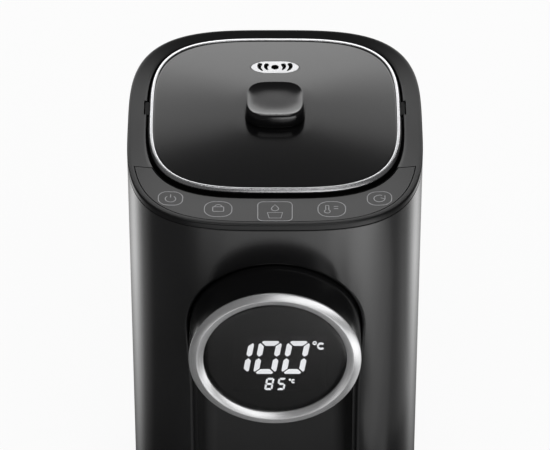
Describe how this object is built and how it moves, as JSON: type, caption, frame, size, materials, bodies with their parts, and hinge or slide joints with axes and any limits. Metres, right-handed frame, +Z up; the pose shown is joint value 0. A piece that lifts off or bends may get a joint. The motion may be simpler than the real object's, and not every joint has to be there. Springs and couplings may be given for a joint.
{
  "type": "electric thermo pot",
  "caption": "Tall electric thermo pot on a swivel base, with a lift-off lid, touch panel, round display snout, pump and power inlet.",
  "frame": {"origin": "on the table, under the axis that the pot swivels about, at the middle of the rubber ring's lower face", "axes": "+Z up along the swivel axis; -Y towards the display snout and the outlet; +X to the right as seen by a person who faces the display"},
  "size_m": [0.21, 0.2578, 0.3434],
  "materials": {
    "satin_black": "satin moulded",
    "gloss_black": "glossy moulded",
    "grey_rim": "fine satin",
    "bright_trim": "polished",
    "ring_metal": "satin with a polished bevel",
    "dark_glass": "smoked",
    "digit_white": "translucent",
    "inner_black": "moulded",
    "foot_rubber": "matte",
    "silicone": "translucent matte",
    "steel": "brushed",
    "sensor_metal": "plated",
    "screw_steel": "zinc plated",
    "board_green": "lacquered",
    "part_black": "moulded",
    "heater_metal": "cast",
    "mica_band": "laminated",
    "insulation": "felted",
    "pump_white": "moulded",
    "motor_case": "plated",
    "magnet_dark": "sintered",
    "pin_brass": "nickel plated",
    "wire_red": "sheathed"
  },
  "bodies": {
    "turntable": {"swivel_base": "satin_black", "rubber_ring": "foot_rubber", "swivel_retainer": "steel", "retainer_screw": "screw_steel"},
    "pot": {"base_cover": "satin_black", "base_screws": "screw_steel", "body_shell": "satin_black", "top_frame": "grey_rim", "touch_panel": "grey_rim", "touch_board": "board_green", "touch_springs": "sensor_metal", "snout_housing": "gloss_black", "display_ring": "ring_metal", "display_glass": "dark_glass", "display_digits": "digit_white", "display_holder": "inner_black", "display_board": "board_green", "bay_liner": "satin_black", "spout_nozzle": "inner_black", "riser_hose": "silicone", "inner_tank": "steel", "tank_collar": "steel", "tank_seal": "silicone", "tank_strainer": "steel", "thermal_jacket": "insulation", "boil_heater": "heater_metal", "warm_heater": "mica_band", "thermal_cutouts": "sensor_metal", "temperature_sensor": "sensor_metal", "tank_support": "inner_black", "pump_housing": "pump_white", "pump_cover": "pump_white", "pump_screws": "screw_steel", "pump_motor": "motor_case", "pump_bracket": "steel", "inlet_sleeve": "silicone", "power_board": "board_green", "board_parts": "part_black", "board_screws": "screw_steel", "power_inlet": "inner_black", "inlet_pins": "pin_brass", "wire_harness": "wire_red"},
    "lid": {"lid_shell": "gloss_black", "lid_ring": "bright_trim", "lid_knob": "gloss_black", "knob_screw": "screw_steel", "vent_plate": "bright_trim", "steam_duct": "inner_black", "lid_tray": "satin_black", "lid_foam": "insulation", "lid_inner_cover": "steel", "lid_gasket": "silicone", "lid_screws": "screw_steel"},
    "valve_ball": {"valve_ball": "steel"},
    "rotor": {"motor_rotor": "magnet_dark"},
    "impeller": {"pump_impeller": "pump_white"}
  },
  "joints": [
    {"name": "pot_swivel", "type": "hinge", "parent": "turntable", "child": "pot", "pos_m": [0, 0, 0.0105], "axis": [0, 0, 1], "continuous": true},
    {"name": "lid_lift", "type": "slide", "parent": "pot", "child": "lid", "axis": [0, 0, 1], "range_m": [0, 0.12]},
    {"name": "valve_ball_lift", "type": "slide", "parent": "lid", "child": "valve_ball", "axis": [0, 0, 1], "range_m": [0, 0.005]},
    {"name": "motor_spin", "type": "hinge", "parent": "pot", "child": "rotor", "pos_m": [0, 0.013, 0.05], "axis": [0, 0, 1], "continuous": true},
    {"name": "impeller_spin", "type": "hinge", "parent": "pot", "child": "impeller", "pos_m": [0, 0.013, 0.064], "axis": [0, 0, 1], "continuous": true}
  ],
  "couplings": [
    {"joint": "impeller_spin", "follows": "motor_spin", "ratio": 1}
  ]
}
